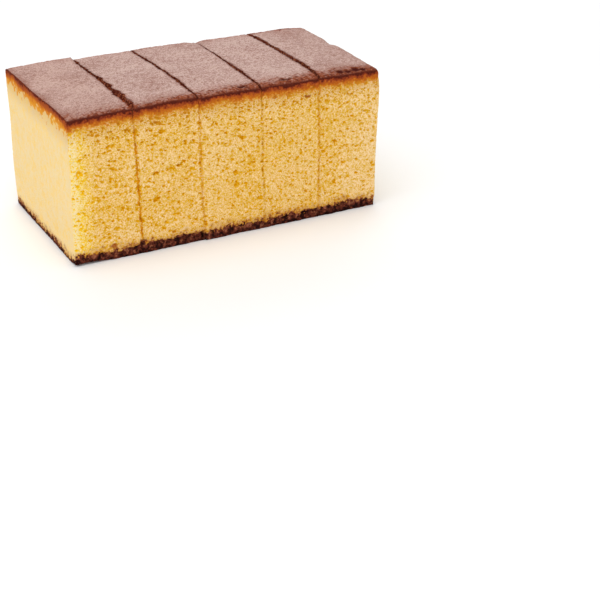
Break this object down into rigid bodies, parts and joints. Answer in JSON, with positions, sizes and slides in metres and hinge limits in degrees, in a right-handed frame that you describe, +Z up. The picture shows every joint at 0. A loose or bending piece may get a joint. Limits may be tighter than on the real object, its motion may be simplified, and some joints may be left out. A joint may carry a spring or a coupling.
{
  "type": "castella sponge cake",
  "caption": "Bar of honey sponge cake cut across into slices that still stand together, with a flat browned crust on top and a dark crust underneath.",
  "frame": {"origin": "on the table, under the middle of the bar's bounding box", "axes": "+X along the bar, from its left end to its right end; +Y from the front to the back, so the front faces -Y; +Z up"},
  "size_m": [0.1227, 0.0651, 0.0551],
  "materials": {
    "sponge": "matte open crumb of a baked honey sponge, golden yellow, browned on top and underneath"
  },
  "bodies": {
    "root": {"slice_1": "sponge", "slice_2": "sponge", "slice_3": "sponge", "slice_4": "sponge", "slice_5": "sponge"}
  },
  "joints": []
}
